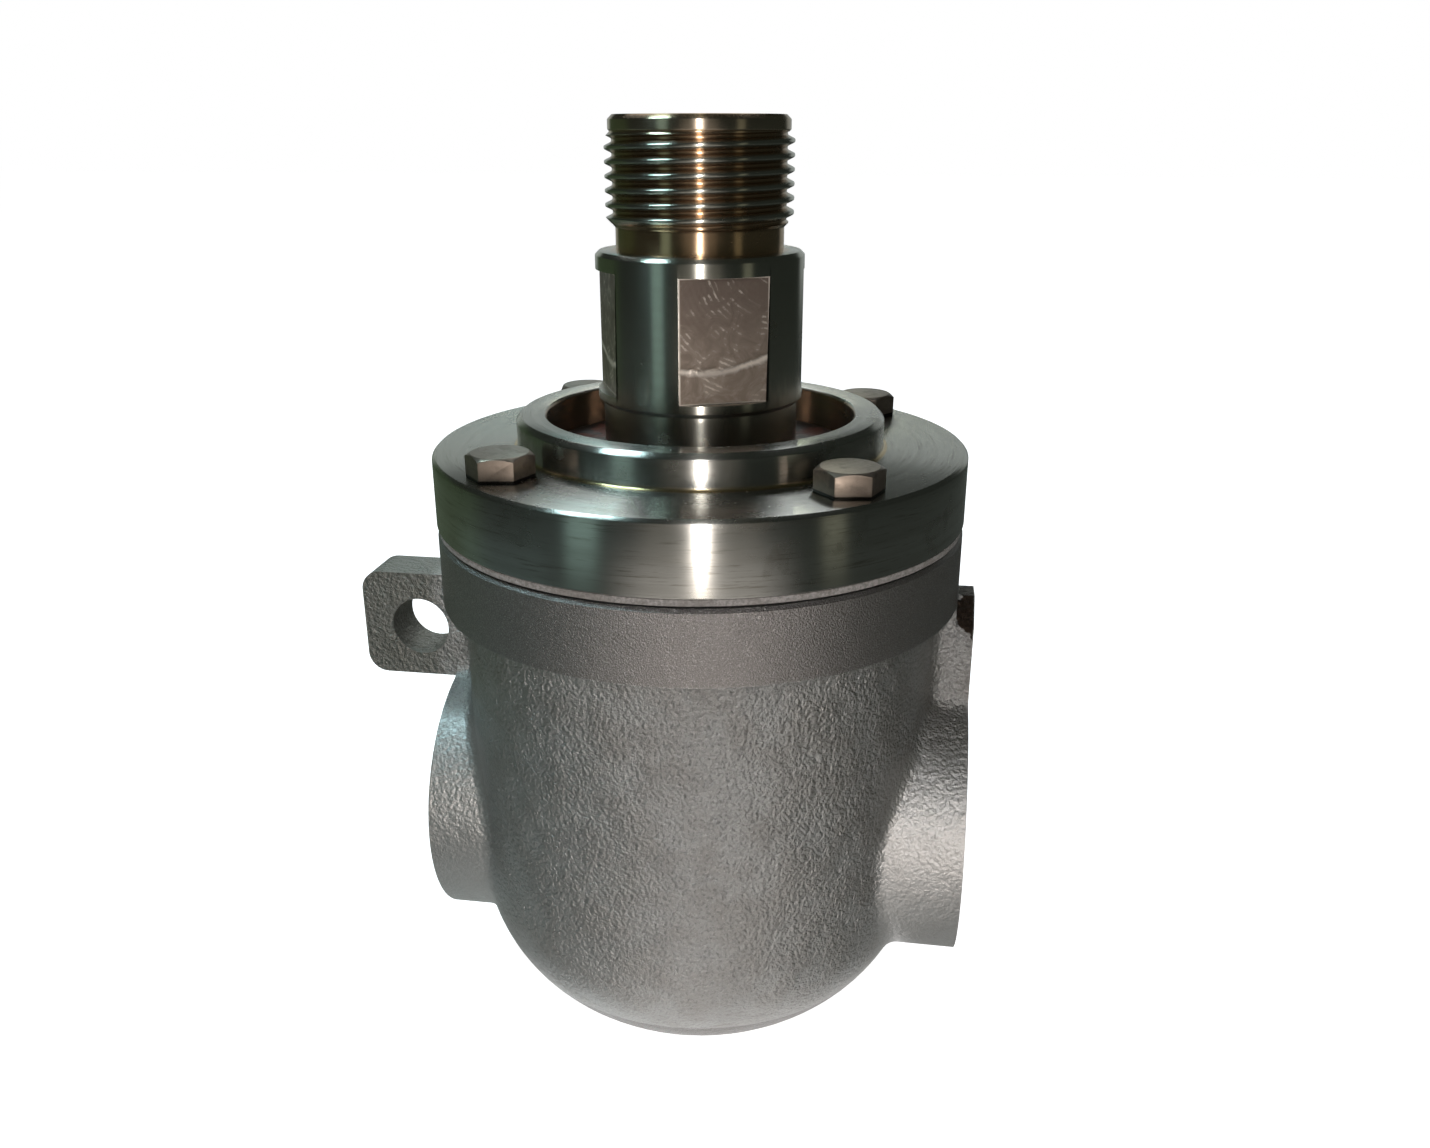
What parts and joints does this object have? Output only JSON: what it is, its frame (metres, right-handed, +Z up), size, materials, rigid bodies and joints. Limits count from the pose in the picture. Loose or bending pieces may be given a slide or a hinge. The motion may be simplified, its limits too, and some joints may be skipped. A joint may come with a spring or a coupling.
{
  "type": "rotary union",
  "caption": "Flow-through rotary union: a hollow threaded rotor turns in a flanged cover bolted to a cast housing with opposite side ports and a holding ear.",
  "frame": {"origin": "centre of the round face that the housing rests on, on the rotor's axis", "axes": "+Z up along the rotor's axis towards its thread; the side ports lie on the X axis, the holding ear at -X, and the pictured front faces -Y"},
  "size_m": [0.1529, 0.1252, 0.2198],
  "materials": {
    "cast_housing": "sand-cast surface, machined joint face and ports",
    "turned_cover": "turned, fine concentric tool marks",
    "gasket_sheet": "pressed fibre sheet",
    "bolt_steel": "plain steel, chamfered heads",
    "spring_steel": "hardened spring steel",
    "seal_rubber": "moulded brown-red rubber",
    "insert_steel": "pressed steel",
    "bearing_steel": "ground and polished",
    "cage_brass": "machined brass",
    "spacer_steel": "turned",
    "rotor_steel": "turned and polished, milled flats",
    "face_ring_steel": "hardened and lapped",
    "o_ring_rubber": "moulded black rubber",
    "carbon": "lapped carbon graphite",
    "carrier_steel": "turned stainless steel"
  },
  "bodies": {
    "stator": {"housing": "cast_housing", "cover": "turned_cover", "cover_gasket": "gasket_sheet", "bolt_back_right": "bolt_steel", "bolt_back_left": "bolt_steel", "bolt_front_left": "bolt_steel", "bolt_front_right": "bolt_steel", "cover_retaining_ring": "spring_steel", "sleeve_o_ring": "o_ring_rubber", "seal_lip": "seal_rubber", "seal_case": "insert_steel", "garter_spring": "spring_steel", "upper_bearing_outer_ring": "bearing_steel", "lower_bearing_outer_ring": "bearing_steel", "outer_spacer": "spacer_steel", "guide_o_ring": "o_ring_rubber", "seal_spring": "spring_steel"},
    "rotor": {"rotor": "rotor_steel", "upper_bearing_inner_ring": "bearing_steel", "lower_bearing_inner_ring": "bearing_steel", "inner_spacer": "spacer_steel", "rotor_retaining_ring": "spring_steel", "face_ring": "face_ring_steel", "face_ring_o_ring": "o_ring_rubber"},
    "upper_cage": {"upper_bearing_cage": "cage_brass", "upper_bearing_balls": "bearing_steel"},
    "lower_cage": {"lower_bearing_cage": "cage_brass", "lower_bearing_balls": "bearing_steel"},
    "floating_seal": {"seal_carrier": "carrier_steel", "carbon_ring": "carbon", "drive_pin_back": "spring_steel", "drive_pin_front": "spring_steel"}
  },
  "joints": [
    {"name": "rotor_spin", "type": "hinge", "parent": "stator", "child": "rotor", "pos_m": [0, 0, 0.12], "axis": [0, 0, 1], "continuous": true},
    {"name": "upper_cage_spin", "type": "hinge", "parent": "stator", "child": "upper_cage", "pos_m": [0, 0, 0.1275], "axis": [0, 0, 1], "continuous": true},
    {"name": "lower_cage_spin", "type": "hinge", "parent": "stator", "child": "lower_cage", "pos_m": [0, 0, 0.1045], "axis": [0, 0, 1], "continuous": true},
    {"name": "seal_slide", "type": "slide", "parent": "stator", "child": "floating_seal", "axis": [0, 0, 1], "range_m": [-0.0015, 0], "stiffness_N_per_m": 5000, "springref_m": 0.012, "deforming": ["seal_spring"]}
  ],
  "couplings": [
    {"joint": "upper_cage_spin", "follows": "rotor_spin", "ratio": 0.4269},
    {"joint": "lower_cage_spin", "follows": "rotor_spin", "ratio": 0.4269}
  ]
}
